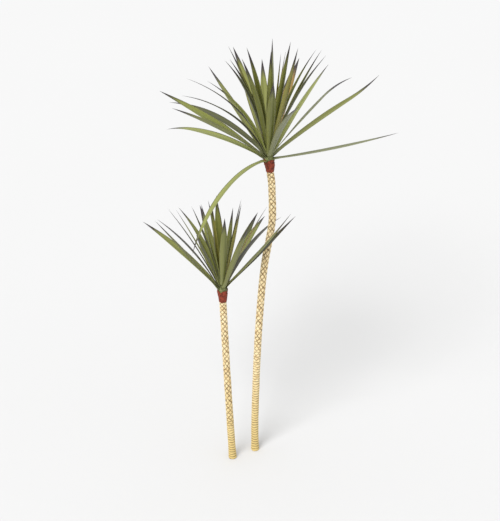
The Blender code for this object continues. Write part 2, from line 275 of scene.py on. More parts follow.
@dataclass(frozen=True)
class BladeFinish:
    """A living leaf blade, tough and waxy: satin green with fine lengthwise veins, a pale yellowish rim that is
    partly a painted highlight along its edges, and a dry purple-black tip."""

    tint: Tint
    pale_margin_and_highlight: str = "#a19d5c"
    tip: str = "#2a2224"
    foot: str = "#7f8456"
    veins: float = 9.0  # across a blade; a real one has some 40, too fine to show, so they are drawn coarser
    streak_stretch: float = 0.9
    roughness: float = 0.42

    def make(self) -> bpy.types.Material:
        """Make the blade, which reads its own map: across it from 0 to 1 and along it from foot to tip."""
        material, tree, shader = new_material(
            f"waxy leaf blade, {self.tint.name.lower()}", self.roughness, specular=0.45
        )
        shader.inputs["Coat Weight"].default_value = 0.08
        shader.inputs["Coat Roughness"].default_value = 0.35
        blade, streaks = self.tint.value
        where = add_node(tree, "ShaderNodeUVMap", uv_map=BLADE_MAP).outputs["UV"]
        parts = add_node(tree, "ShaderNodeSeparateXYZ", {0: where})
        across, along = parts.outputs["X"], parts.outputs["Y"]
        place = add_node(tree, "ShaderNodeTexCoord").outputs["Object"]
        apart = add_node(
            tree, "ShaderNodeTexNoise", {"Vector": place, "Scale": 3.0, "Detail": 0.0}
        ).outputs["Fac"]
        lines = add_node(
            tree,
            "ShaderNodeCombineXYZ",
            {
                "X": add_node(
                    tree, "ShaderNodeMath", {0: across, 1: self.veins}, operation="MULTIPLY"
                ).outputs["Value"],
                "Y": add_node(
                    tree, "ShaderNodeMath", {0: along, 1: self.streak_stretch}, operation="MULTIPLY"
                ).outputs["Value"],
                "Z": apart,
            },
        ).outputs["Vector"]
        streak = add_node(
            tree, "ShaderNodeTexNoise", {"Vector": lines, "Scale": 1.0, "Detail": 2.0}
        ).outputs["Fac"]
        streaked = add_node(
            tree, "ShaderNodeMapRange", {"Value": streak, "From Min": 0.4, "From Max": 0.62}
        ).outputs["Result"]
        colour = add_node(
            tree,
            "ShaderNodeMix",
            {"Factor": streaked, 6: linear(blade), 7: linear(streaks)},
            data_type="RGBA",
        ).outputs[2]
        aside = add_node(tree, "ShaderNodeMath", {0: across, 1: 0.5}, operation="SUBTRACT").outputs["Value"]
        aside = add_node(tree, "ShaderNodeMath", {0: aside}, operation="ABSOLUTE").outputs["Value"]
        # the pale band along both edges: partly the leaf's own yellowish rim, partly a painted highlight
        edge = add_node(
            tree, "ShaderNodeMapRange", {"Value": aside, "From Min": 0.43, "From Max": 0.49, "To Max": 0.75}
        ).outputs["Result"]
        colour = add_node(
            tree, "ShaderNodeMix", {"Factor": edge, 6: colour, 7: linear(self.pale_margin_and_highlight)}, data_type="RGBA"
        ).outputs[2]
        at_foot = add_node(
            tree, "ShaderNodeMapRange", {"Value": along, "From Min": 0.14, "From Max": 0.0, "To Max": 0.6}
        ).outputs["Result"]
        colour = add_node(
            tree, "ShaderNodeMix", {"Factor": at_foot, 6: colour, 7: linear(self.foot)}, data_type="RGBA"
        ).outputs[2]
        browned = add_node(
            tree, "ShaderNodeMath", {0: aside, 1: 0.12, 2: along}, operation="MULTIPLY_ADD"
        ).outputs["Value"]
        browned = add_node(
            tree, "ShaderNodeMath", {0: apart, 1: 0.25, 2: browned}, operation="MULTIPLY_ADD"
        ).outputs["Value"]
        at_tip = add_node(
            tree, "ShaderNodeMapRange", {"Value": browned, "From Min": 0.93, "From Max": 1.05}
        ).outputs["Result"]
        colour = add_node(
            tree, "ShaderNodeMix", {"Factor": at_tip, 6: colour, 7: linear(self.tip)}, data_type="RGBA"
        ).outputs[2]
        tree.links.new(colour, shader.inputs["Base Color"])
        bump = add_node(
            tree, "ShaderNodeBump", {"Height": streak, "Strength": 0.35, "Distance": 0.5 * MILLIMETRE}
        )
        tree.links.new(bump.outputs["Normal"], shader.inputs["Normal"])
        return material


@dataclass(frozen=True)
class HeartFinish:
    """The fleshy middle of a head, where the leaf bases sit tight on each other: satin, pale to olive green."""

    pale: str = "#7c8150"
    deep: str = "#3d4224"
    blotch: float = 8 * MILLIMETRE
    roughness: float = 0.5

    def make(self) -> bpy.types.Material:
        """Make the heart, paler and deeper green in soft blotches."""
        material, tree, shader = new_material("fleshy leaf heart", self.roughness, specular=0.4)
        place = add_node(tree, "ShaderNodeTexCoord").outputs["Object"]
        blotches = add_node(
            tree, "ShaderNodeTexNoise", {"Vector": place, "Scale": 1 / self.blotch}
        ).outputs["Fac"]
        share = add_node(
            tree, "ShaderNodeMapRange", {"Value": blotches, "From Min": 0.35, "From Max": 0.65}
        ).outputs["Result"]
        colour = add_node(
            tree,
            "ShaderNodeMix",
            {"Factor": share, 6: linear(self.pale), 7: linear(self.deep)},
            data_type="RGBA",
        ).outputs[2]
        tree.links.new(colour, shader.inputs["Base Color"])
        return material


@dataclass(frozen=True)
class FloorFinish:
    """Matt white studio card: even and shadow-catching, with the faintest grain."""

    card: str = "#cecece"
    card_shade: str = "#cccccc"
    grain: float = 0.5
    roughness: float = 0.95

    def make(self) -> bpy.types.Material:
        """Make the card."""
        material, tree, shader = new_material("matt studio card", self.roughness, specular=0.0)
        place = add_node(tree, "ShaderNodeTexCoord").outputs["Object"]
        cloud = add_node(tree, "ShaderNodeTexNoise", {"Vector": place, "Scale": self.grain}).outputs["Fac"]
        colour = add_node(
            tree,
            "ShaderNodeMix",
            {"Factor": cloud, 6: linear(self.card), 7: linear(self.card_shade)},
            data_type="RGBA",
        ).outputs[2]
        tree.links.new(colour, shader.inputs["Base Color"])
        return material


# Ways of modelling that every piece uses


def pick(*pieces: bpy.types.Object) -> None:
    """Deselect all, then select these pieces and make the first one active."""
    bpy.ops.object.select_all(action="DESELECT")
    for piece in pieces:
        piece.select_set(True)
    bpy.context.view_layer.objects.active = pieces[0]


def apply_modifier(piece: bpy.types.Object, kind: str, **settings: Any) -> None:
    """Give a piece a modifier with these settings and apply it.

    Args:
        piece: The piece to change.
        kind: The modifier's type name.
        settings: The modifier's own settings.
    """
    pick(piece)
    modifier = piece.modifiers.new(kind.lower(), kind)
    for name, value in settings.items():
        setattr(modifier, name, value)
    bpy.ops.object.modifier_apply(modifier=modifier.name)


def copy_of(piece: bpy.types.Object, name: str) -> bpy.types.Object:
    """Copy a piece together with its mesh.

    Args:
        piece: The piece that is repeated.
        name: The copy's name.

    Returns:
        The copy, linked to the scene.
    """
    copy = piece.copy()
    copy.data = piece.data.copy()
    copy.name = name
    bpy.context.scene.collection.objects.link(copy)
    return copy


def put_in_place(piece: bpy.types.Object, matrix: Matrix) -> None:
    """Turn and move a piece by this matrix and leave its object at the origin, with its place in its mesh."""
    piece.matrix_world = matrix
    pick(piece)
    bpy.ops.object.transform_apply(location=True, rotation=True, scale=True)


def join(name: str, pieces: Sequence[bpy.types.Object]) -> bpy.types.Object:
    """Join pieces of one kind into one, with its object at the origin.

    Args:
        name: The joined piece's name.
        pieces: What is joined.

    Returns:
        The joined piece.
    """
    pick(*pieces)
    bpy.ops.object.join()
    joined = bpy.context.view_layer.objects.active
    joined.name = name
    joined.data.name = name
    return joined


def merge_doubles(piece: bpy.types.Object, within: float) -> None:
    """Merge the vertices of a piece that lie this close and turn its faces outwards."""
    pick(piece)
    bpy.ops.object.mode_set(mode="EDIT")
    bpy.ops.mesh.select_all(action="SELECT")
    bpy.ops.mesh.remove_doubles(threshold=within)
    bpy.ops.mesh.normals_make_consistent(inside=False)
    bpy.ops.object.mode_set(mode="OBJECT")


def places_of(piece: bpy.types.Object) -> np.ndarray:
    """The places of a piece's vertices, one row each."""
    places = np.empty(len(piece.data.vertices) * 3, np.float32)
    piece.data.vertices.foreach_get("co", places)
    return places.reshape(-1, 3)


def map_of(piece: bpy.types.Object, name: str) -> np.ndarray:
    """A piece's UV map, one row for each corner of its faces."""
    corners = np.empty(len(piece.data.loops) * 2, np.float32)
    piece.data.uv_layers[name].data.foreach_get("uv", corners)
    return corners.reshape(-1, 2)


def set_map(piece: bpy.types.Object, name: str, corners: np.ndarray) -> None:
    """Write a UV map, and add it where the piece has none of that name."""
    layer = piece.data.uv_layers.get(name) or piece.data.uv_layers.new(name=name)
    layer.data.foreach_set("uv", corners.astype(np.float32).ravel())


def each_face(piece: bpy.types.Object) -> np.ndarray:
    """The number of the face that each corner of a piece belongs to."""
    sizes = np.array([len(face.vertices) for face in piece.data.polygons])
    return np.repeat(np.arange(len(sizes)), sizes)


# The rule that the solids' leaves follow

LEAF_SEGMENTS = 12
LEAF_THICKNESS = 0.0102  # of its length, at the midrib
CHANNEL_DEPTH = 0.085  # of its width
FOOT_WIDTH = 0.46  # of its width
WIDEST_AT = 0.5  # of its length
TIP_POWER = 1.6
CURL_FROM = 0.7  # of its length
TWISTED_BY = 0.4  # of its length
YOUNG_LEAF_WIDTH = 0.78  # of a spread leaf's
YOUNG_LEAF_ROOT = 0.012  # length sunk in the head
STEEPEST = math.radians(89)
FOOT_ROUNDS = 3
HEAD_TAPER = 1.5
BEND_STEP = math.radians(3)
LENGTH_STEP = 0.015  # of its length
HEIGHT_STEP = 0.0015
MOST_STEPS = (5, 3, 7)
GAP = 0.0003
LEAF_ROOM = 0.0008

AWAY = True


@dataclass(frozen=True)
class Tip:
    """A leaf's tip in the front view: metres right of its head's foot and up from it, square to the view.

    The leaf falls by bend degrees on its way there, its end turns up again by curl degrees, and it twists
    about its own line by twist degrees. It leans towards the viewer unless it leans away, and has its head's
    usual length unless one is given. Its tint is for looks alone.
    """

    across: float
    up: float
    bend: float
    away: bool = False
    length: float = 0
    curl: float = 0
    twist: float = 0
    tint: Tint = Tint.OLIVE


def turned(bend: float, curl: float, share: float) -> float:
    """How far a leaf of this bend and curl has turned upwards at this share of its length."""
    return curl * max(0.0, share - CURL_FROM) / (1 - CURL_FROM) - bend * share


@dataclass(frozen=True)
class Leaf:
    """A leaf: its azimuth from +X, its rise above level at its foot, its bend, curl and twist, all in radians,
    its length, its greatest width, the height up the head that it springs at, and its tip in the front view."""

    azimuth: float
    rise: float
    bend: float
    curl: float
    twist: float
    length: float
    width: float
    height: float
    tip: Tip

    def heading(self, share: float) -> tuple[Vector, Vector, Vector]:
        """The leaf's direction, sideways and upper-face vectors at this share of its length."""
        rise = self.rise + turned(self.bend, self.curl, share)
        level = Vector((math.cos(self.azimuth), math.sin(self.azimuth), 0))
        ahead = level * math.cos(rise) + Vector((0, 0, math.sin(rise)))
        twisted = Quaternion(ahead, self.twist * min(share / TWISTED_BY, 1))
        sideways = twisted @ Vector((-level.y, level.x, 0))
        return ahead, sideways, ahead.cross(sideways)


def leaf_width_share(share: float) -> float:
    """The leaf's width at this share of its length, against its greatest width."""
    widening = FOOT_WIDTH + (1 - FOOT_WIDTH) * math.sin(math.pi / 2 * min(share / WIDEST_AT, 1))
    past_widest = max(0.0, (share - WIDEST_AT) / (1 - WIDEST_AT))
    return widening * (1 - past_widest**TIP_POWER)


@dataclass(frozen=True)
class Head:
    """A head: its foot, height, radii at foot and top, its leaves' width and usual length, the heights that
    they spring between, how many of the steepest are young ones, above the others, and their tips."""

    foot: Vector
    height: float
    foot_radius: float
    top_radius: float
    leaf_width: float
    leaf_length: float
    lowest: float
    highest: float
    young: int
    tips: tuple[Tip, ...]

    def radius(self, height: float) -> float:
        """The head's radius at this height."""
        share = max(0.0, min(height / self.height, 1.0))
        return self.foot_radius - (self.foot_radius - self.top_radius) * share**HEAD_TAPER

    def leaf_foot(self, leaf: Leaf) -> Vector:
        """Where this leaf's centre line starts, with the leaf's face just clear of the head."""
        thickest = LEAF_THICKNESS * leaf.length / 2 * math.sqrt(FOOT_WIDTH)
        inwards = thickest - CHANNEL_DEPTH * leaf.width * FOOT_WIDTH
        radius = self.radius(leaf.height) + GAP + inwards * math.sin(leaf.rise)
        level = Vector((math.cos(leaf.azimuth), math.sin(leaf.azimuth), 0))
        return self.foot + level * radius + Vector((0, 0, leaf.height))

    def leaf_to(
        self,
        tip: Tip,
        height: float,
        bend_more: float = 0,
        length_share: float = 1,
        width_share: float = 1,
    ) -> Leaf:
        """Work out the leaf that springs at this height and whose tip shows where the front view has it.

        The line of sight through that place meets the leaf's reach from its foot twice, once on each side.

        Args:
            tip: The leaf's tip in the front view.
            height: How far up the head it springs.
            bend_more: Radians that it bends beyond its tip's own bend.
            length_share: Its length against its tip's own length.
            width_share: Its width against its head's usual width.

        Returns:
            The leaf.
        """
        spot = self.foot + VIEW_RIGHT * tip.across + VIEW_UP * tip.up
        sight = (spot - VIEWPOINT).normalized()
        bend = math.radians(tip.bend) + bend_more
        curl = math.radians(tip.curl)
        length = (tip.length or self.leaf_length) * length_share
        turns = [turned(bend, curl, (i + 0.5) / LEAF_SEGMENTS) for i in range(LEAF_SEGMENTS)]
        straight = sum(math.cos(turn) for turn in turns) / LEAF_SEGMENTS
        raised = sum(math.sin(turn) for turn in turns) / LEAF_SEGMENTS
        reach = length * math.hypot(straight, raised)
        foot = self.foot + Vector((0, 0, height))
        for _ in range(FOOT_ROUNDS):
            along = (foot - VIEWPOINT).dot(sight)
            aside = (VIEWPOINT + sight * along - foot).length
            deep = math.sqrt(max(reach**2 - aside**2, 0))
            chord = VIEWPOINT + sight * (along + (deep if tip.away else -deep)) - foot
            rise = math.asin(chord.z / chord.length) - math.atan2(raised, straight)
            azimuth = math.atan2(chord.y, chord.x)
            twist = math.radians(tip.twist)
            width = self.leaf_width * width_share
            leaf = Leaf(azimuth, rise, bend, curl, twist, length, width, height, tip)
            foot = self.leaf_foot(leaf)
        return leaf

    def leaf_rings(self, leaf: Leaf, sunk: float = 0, room: float = 0) -> tuple[Rings, Vector]:
        """Work out the rings of a leaf's solid.

        Args:
            leaf: The leaf.
            sunk: How far its root runs on into the head.
            room: The clearance added all round it.

        Returns:
            The rings from foot to tip, and the tip.
        """
        centres = [self.leaf_foot(leaf)]
        for i in range(LEAF_SEGMENTS):
            ahead = leaf.heading((i + 0.5) / LEAF_SEGMENTS)[0]
            centres.append(centres[-1] + ahead * leaf.length / LEAF_SEGMENTS)
        rings = []
        for i, centre in enumerate(centres[:-1]):
            share = i / LEAF_SEGMENTS
            ahead, sideways, upward = leaf.heading(share)
            wide = leaf_width_share(share)
            edge = sideways * (leaf.width / 2 * wide + room)
            rib = centre - upward * CHANNEL_DEPTH * leaf.width * wide
            thick = upward * (LEAF_THICKNESS * leaf.length / 2 * math.sqrt(wide) + room)
            ring = [centre - edge, rib - thick, centre + edge, rib + thick]
            if i == 0 and sunk:
                rings.append([point - ahead * sunk for point in ring])
            rings.append(ring)
        return rings, centres[-1]


def surface(rings: Rings, tip: Vector | None = None) -> BVHTree:
    """Make a surface through rings that others can be tested against.

    Args:
        rings: Rings of points, all with as many points.
        tip: The point that the surface ends in, if it does.

    Returns:
        The surface.
    """
    sides = len(rings[0])
    points = [point for ring in rings for point in ring]
    faces: list[tuple[int, ...]] = []
    for lower in range(0, len(points) - sides, sides):
        for i in range(sides):
            j = (i + 1) % sides
            faces.append((lower + i, lower + j, lower + sides + j, lower + sides + i))
    if tip is not None:
        last = len(points) - sides
        faces += [(last + i, last + (i + 1) % sides, len(points)) for i in range(sides)]
        points.append(tip)
    return BVHTree.FromPolygons(points, faces)


def ways_to_give() -> list[tuple[int, ...]]:
    """Steps of bend, length and height that a leaf may give way by, the least first."""
    ways = itertools.product(*(range(-most, most + 1) for most in MOST_STEPS))
    return sorted(ways, key=lambda way: sum(step * step for step in way))


def settle(head: Head, tip: Tip, height: float, taken: list[BVHTree]) -> Leaf | None:
    """Find the leaf to a tip that clears every surface there already, changed as little as that takes.

    Args:
        head: The leaf's head.
        tip: Its tip in the front view.
        height: How far up the head it springs, unless it gives way.
        taken: The surfaces there already.

    Returns:
        The leaf, or None where there is no room.
    """
    for bend_steps, length_steps, height_steps in ways_to_give():
        springing = height + HEIGHT_STEP * height_steps
        if not head.lowest <= springing <= head.height:
            continue
        leaf = head.leaf_to(tip, springing, BEND_STEP * bend_steps, 1 + LENGTH_STEP * length_steps)
        if leaf.rise > STEEPEST:
            continue
        wanted = surface(*head.leaf_rings(leaf, room=LEAF_ROOM))
        if not any(wanted.overlap(other) for other in taken):
            return leaf
    return None


def even_heights(lowest: float, highest: float, count: int) -> list[float]:
    """This many heights, evenly spread from the lowest to the highest."""
    return [lowest + (highest - lowest) * i / (count - 1) for i in range(count)]


def grow(head: Head, taken: list[BVHTree]) -> tuple[list[Leaf], list[Leaf]]:
    """Grow a head's leaves.

    Args:
        head: The head.
        taken: The surfaces there already, to which the leaves' own are added.

    Returns:
        Its spread leaves from the lowest up, and its young ones.
    """
    middle = (head.lowest + head.highest) / 2
    tips = sorted(head.tips, key=lambda tip: head.leaf_to(tip, middle).rise)
    older, younger = tips[: -head.young], tips[-head.young :]
    young = []
    for tip, height in zip(younger, even_heights(head.highest, head.height, head.young)):
        young.append(head.leaf_to(tip, height, width_share=YOUNG_LEAF_WIDTH))
        taken.append(surface(*head.leaf_rings(young[-1], YOUNG_LEAF_ROOT)))
    spread: list[Leaf] = []
    heights = even_heights(head.lowest, head.highest, len(older))
    for tip, height in reversed(list(zip(older, heights))):
        leaf = settle(head, tip, height, taken)
        if leaf:
            spread.insert(0, leaf)
            taken.append(surface(*head.leaf_rings(leaf)))
    return spread, young


# Lines along which a stem runs


def smooth_point(points: Sequence[Vector], share: float) -> Vector:
    """The point at this share of a smooth curve that passes through all of the points."""
    place = share * (len(points) - 1)
    index = min(int(place), len(points) - 2)
    part = place - index
    before = points[max(index - 1, 0)]
    start, end = points[index], points[index + 1]
    after = points[min(index + 2, len(points) - 1)]
    return (
        start * 2
        + (end - before) * part
        + (before * 2 - start * 5 + end * 4 - after) * part**2
        + (start * 3 - before - end * 3 + after) * part**3
    ) / 2


def level_ring(centre: Vector, radius: float, sides: int) -> Points:
    """A level circle of points, anticlockwise seen from above."""
    angles = [2 * math.pi * i / sides for i in range(sides)]
    return [centre + Vector((radius * math.cos(angle), radius * math.sin(angle), 0)) for angle in angles]


@dataclass(frozen=True)
class Stem:
    """A bare stem whose bark is scored by the scars of fallen leaves.

    The scars zigzag round the stem in rows. Row meets row in a net of lozenges above, and towards the foot the
    zigzag flattens into plain rings.
    """

    name: str
    line: tuple[Vector, ...]
    net_foot: float
    net_full: float
    seed: int
    foot_radius: float = 0.0156
    top_radius: float = 0.0150
    flare: float = 0.0022
    flare_height: float = 0.045
    solid_sides: int = 16
    solid_rings: int = 24
    sides: int = 72
    row_height: float = 13 * MILLIMETRE
    crowding: float = 2.0  # rows that crowd in below the leaves
    crowded_height: float = 0.06
    lozenges: int = 5
    mesh_step: float = 1.5 * MILLIMETRE
    scar_width: float = 2.1 * MILLIMETRE
    scar_depth: float = 1.3 * MILLIMETRE
    plate_bulge: float = 0.5 * MILLIMETRE
    strips: int = 12  # of the stem's length, laid side by side in the map

    def radius(self, share: float, height: float) -> float:
        """The stem's radius at this share of its line and this height."""
        return (
            self.foot_radius
            + (self.top_radius - self.foot_radius) * share
            + self.flare * math.exp(-height / self.flare_height)
        )

    def solid_rings_of(self) -> Rings:
        """The rings of the stem's solid, which the leaves keep clear of."""
        rings = []
        for i in range(self.solid_rings + 1):
            share = i / self.solid_rings
            centre = smooth_point(self.line, share)
            rings.append(level_ring(centre, self.radius(share, centre.z), self.solid_sides))
        return rings

    def wobble(self, turn: np.ndarray, height: np.ndarray, salt: int) -> np.ndarray:
        """Work out a smooth unevenness that closes round the stem.

        Args:
            turn: Shares of a turn round the stem.
            height: Heights in metres.
            salt: Tells one unevenness of this stem from another.

        Returns:
            Values between about -1 and 1.
        """
        random = np.random.default_rng(self.seed + salt)
        total = np.zeros_like(turn)
        for around in (0, 1, 2, 3, 4, 5):
            waves = random.uniform(25, 110, 2)
            phases = random.uniform(0, 2 * math.pi, 2)
            for wave, phase in zip(waves, phases):
                total += np.sin(2 * math.pi * around * turn + wave * height + phase)
        return total / 6

    def scars(self, turn: np.ndarray, height: np.ndarray) -> np.ndarray:
        """Work out how deep in a scar each point lies.

        Args:
            turn: Shares of a turn round the stem.
            height: Heights in metres.

        Returns:
            From 0 on a plate to 1 in the middle of a scar.
        """
        netted = np.clip((height - self.net_foot) / (self.net_full - self.net_foot), 0, 1)
        zigzag = 0.06 + 0.94 * netted * netted * (3 - 2 * netted)
        crowd = self.crowding * np.exp((height - self.line[-1].z) / self.crowded_height)
        row = height / self.row_height + crowd + 0.2 * self.wobble(turn, height, 1)
        place = self.lozenges * turn + 0.14 * self.wobble(turn, height, 2)
        peak = 2 * np.abs(2 * (place - np.floor(place)) - 1) - 1
        nearest = np.full_like(turn, 9.0)
        for step in (-1, 0, 1, 2):
            number = np.floor(row) + step
            side = np.where(number % 2 == 0, 0.5, -0.5)
            nearest = np.minimum(nearest, np.abs(row - number - side * zigzag * peak))
        lozenge_width = 2 * math.pi * self.foot_radius / self.lozenges
        slope = 2 * self.row_height * zigzag / lozenge_width
        distance = nearest * self.row_height / np.sqrt(1 + slope**2)
        strength = np.clip(0.9 + 0.4 * self.wobble(turn, height, 3), 0.5, 1)
        return strength * np.exp(-((distance / self.scar_width) ** 2))

    def model(self) -> bpy.types.Object:
        """Model the stem: a fine sheet rolled round its line, welded, capped and scored."""
        length = self.line[-1].z - self.line[0].z
        rows = self.strips * round(length / self.mesh_step / self.strips)
        bpy.ops.object.select_all(action="DESELECT")
        bpy.ops.mesh.primitive_grid_add(x_subdivisions=self.sides, y_subdivisions=rows, size=1)
        stem = bpy.context.view_layer.objects.active
        stem.name = f"{self.name}_stem_bark"
        sheet = places_of(stem).astype(float) + 0.5
        turn, share = sheet[:, 0], np.clip(sheet[:, 1], 0, 1)
        shares, index = np.unique(np.round(share * rows).astype(int), return_inverse=True)
        centres = np.array([smooth_point(self.line, s / rows) for s in shares])
        radii = np.array([self.radius(s / rows, c[2]) for s, c in zip(shares, centres)])
        centre, radius = centres[index], radii[index]
        scar = self.scars(turn, centre[:, 2])
        radius = radius + self.plate_bulge * (1 - 2 * scar) - self.scar_depth * scar
        radius = radius + self.plate_bulge * 0.6 * self.wobble(turn, centre[:, 2] * 0.6, 4)
        angle = 2 * math.pi * turn
        rolled = centre + np.stack([radius * np.cos(angle), radius * np.sin(angle), 0 * radius], axis=1)
        stem.data.vertices.foreach_set("co", rolled.astype(np.float32).ravel())
        seam = stem.data.attributes.new("seam", "FLOAT", "POINT")
        seam.data.foreach_set("value", scar.astype(np.float32))
        self.lay_out(stem, rows)
        pick(stem)
        bpy.ops.object.mode_set(mode="EDIT")
        bpy.ops.mesh.select_all(action="SELECT")
        bpy.ops.mesh.remove_doubles(threshold=0.02 * MILLIMETRE)
        bpy.ops.mesh.select_all(action="DESELECT")
        bpy.ops.mesh.select_mode(type="EDGE")
        bpy.ops.mesh.select_non_manifold(extend=False, use_boundary=True)
        bpy.ops.mesh.edge_face_add()
        bpy.ops.mesh.select_mode(type="VERT")
        bpy.ops.mesh.select_all(action="SELECT")
        bpy.ops.mesh.normals_make_consistent(inside=False)
        bpy.ops.object.mode_set(mode="OBJECT")
        pick(stem)
        bpy.ops.object.shade_smooth_by_angle(angle=math.radians(50))
        return stem

    def lay_out(self, stem: bpy.types.Object, rows: int) -> None:
        """Lay the stem's faces out in strips side by side, so that its baked picture is sharp all over."""
        corners = map_of(stem, "UVMap").astype(float)
        faces = each_face(stem)
        sizes = np.bincount(faces)
        middle = np.bincount(faces, corners[:, 1]) / sizes
        strip = np.minimum(np.floor(middle[faces] * self.strips), self.strips - 1)
        laid = np.empty_like(corners)
        laid[:, 0] = (strip + 0.01 + 0.98 * corners[:, 0]) / self.strips
        laid[:, 1] = (corners[:, 1] * self.strips - strip) * 0.98
        set_map(stem, NEATLY_BAKED, laid)

    def build(self, finish: BarkFinish) -> bpy.types.Object:
        """Model the stem, dress it in its bark and let it stand for its solid.

        Args:
            finish: The bark.

        Returns:
            The finished piece.
        """
        stem = self.model()
        stem.data.materials.append(finish.make())
        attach(stem, "root")
        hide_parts(f"{self.name}_stem")
        return stem


@dataclass(frozen=True)
class Husks:
    """Husks in rows that clasp a round core, each row overlapping the next one up."""

    rows: int
    in_row: int
    width: float
    length: float
    thickness: float = 0.9 * MILLIMETRE
    across: int = 8
    along: int = 10

    def husk(self, radius: float) -> bpy.types.Object:
        """Model one husk: a tongue that stands on its foot, hollowed to clasp the core, with a blunt point.

        Args:
            radius: The core's radius at the husk's foot.

        Returns:
            The husk, on the -Y side of the core.
        """
        bpy.ops.object.select_all(action="DESELECT")
        bpy.ops.mesh.primitive_grid_add(
            x_subdivisions=self.across, y_subdivisions=self.along, size=1, rotation=(math.pi / 2, 0, 0)
        )
        husk = bpy.context.view_layer.objects.active
        bpy.ops.object.transform_apply(location=True, rotation=True, scale=True)
        for vertex in husk.data.vertices:
            share = vertex.co.z + 0.5
            narrowing = math.sqrt(max(0.0, 1 - max(0.0, (share - 0.35) / 0.65) ** 1.8))
            clasp = vertex.co.x * narrowing * self.width / radius
            vertex.co = (radius * math.sin(clasp), -radius * math.cos(clasp), share * self.length)
        merge_doubles(husk, 0.02 * MILLIMETRE)
        apply_modifier(husk, "SOLIDIFY", thickness=self.thickness, offset=1.0)
        return husk

    def wrap(self, foot: Vector, top: Vector, radius: Callable[[float], float]) -> list[bpy.types.Object]:
        """Set rows of husks round a core.

        Args:
            foot: The core's foot.
            top: The core's top.
            radius: The core's radius at a share of its height.

        Returns:
            The husks.
        """
        husk = self.husk(radius(0))
        reach = self.length / (top - foot).length
        wrapped = []
        for row, number in itertools.product(range(self.rows), range(self.in_row)):
            share = row / self.rows
            turn = 2 * math.pi * (number + 0.5 * (row % 2) + 0.13 * row) / self.in_row
            grown = radius(share) / radius(0)
            lean = math.atan2(radius(min(share + reach, 1)) - radius(share), self.length)
            hinge = Matrix.Translation((0, -radius(0), 0))
            copy = copy_of(husk, f"husk_{row}_{number}")
            put_in_place(
                copy,
                Matrix.Translation(foot.lerp(top, share))
                @ Matrix.Rotation(turn, 4, "Z")
                @ Matrix.Diagonal((grown, grown, 1, 1))
                @ hinge
                @ Matrix.Rotation(lean, 4, "X")
                @ hinge.inverted(),
            )
            wrapped.append(copy)
        bpy.data.objects.remove(husk)
        return wrapped


@dataclass(frozen=True)
class Collar:
    """The old leaf bases under a head: a cone of them, with husks that overlap upwards round it."""

    name: str
    foot: Vector
    top: Vector
    foot_radius: float = 0.0160
    top_radius: float = 0.0225
    swell: float = 1.6
    solid_sides: int = 32
    solid_rings: int = 4
    sides: int = 40
    steps: int = 8
    husks: Husks = Husks(rows=3, in_row=4, width=0.030, length=0.030)

    def radius(self, share: float) -> float:
        """The cone's radius at this share of its height."""
        return self.foot_radius + (self.top_radius - self.foot_radius) * share**self.swell

    def solid_rings_of(self) -> Rings:
        """The rings of the collar's solid, which the leaves keep clear of."""
        foot = self.foot + Vector((0, 0, GAP))
        top = self.top - Vector((0, 0, GAP))
        shares = [i / self.solid_rings for i in range(self.solid_rings + 1)]
        return [level_ring(foot.lerp(top, share), self.radius(share), self.solid_sides) for share in shares]

    def cone(self) -> bpy.types.Object:
        """Model the cone by extruding a disc upwards in steps that swell."""
        bpy.ops.object.select_all(action="DESELECT")
        bpy.ops.mesh.primitive_circle_add(
            vertices=self.sides, radius=self.radius(0), fill_type="NGON", location=self.foot
        )
        cone = bpy.context.view_layer.objects.active
        bpy.ops.object.mode_set(mode="EDIT")
        step = (self.top - self.foot) / self.steps
        for i in range(self.steps):
            grown = self.radius((i + 1) / self.steps) / self.radius(i / self.steps)
            bpy.ops.mesh.extrude_region_move(TRANSFORM_OT_translate={"value": step})
            centre = self.foot + step * (i + 1)
            bpy.ops.transform.resize(value=(grown, grown, 1), center_override=centre)
        bpy.ops.mesh.select_all(action="SELECT")
        bpy.ops.mesh.normals_make_consistent(inside=False)
        bpy.ops.object.mode_set(mode="OBJECT")
        bpy.ops.object.transform_apply(location=True, rotation=True, scale=True)
        return cone

    def build(self, finish: LeafBaseFinish) -> bpy.types.Object:
        """Model the collar, dress it and let it stand for its solid.

        Args:
            finish: The husks' finish.

        Returns:
            The finished piece.
        """
        husks = self.husks.wrap(self.foot, self.top, self.radius)
        collar = join(f"{self.name}_leaf_bases", [self.cone(), *husks])
        pick(collar)
        bpy.ops.object.shade_smooth_by_angle(angle=math.radians(50))
        collar.data.materials.clear()
        collar.data.materials.append(finish.make())
        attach(collar, "root")
        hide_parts(f"{self.name}_collar")
        return collar


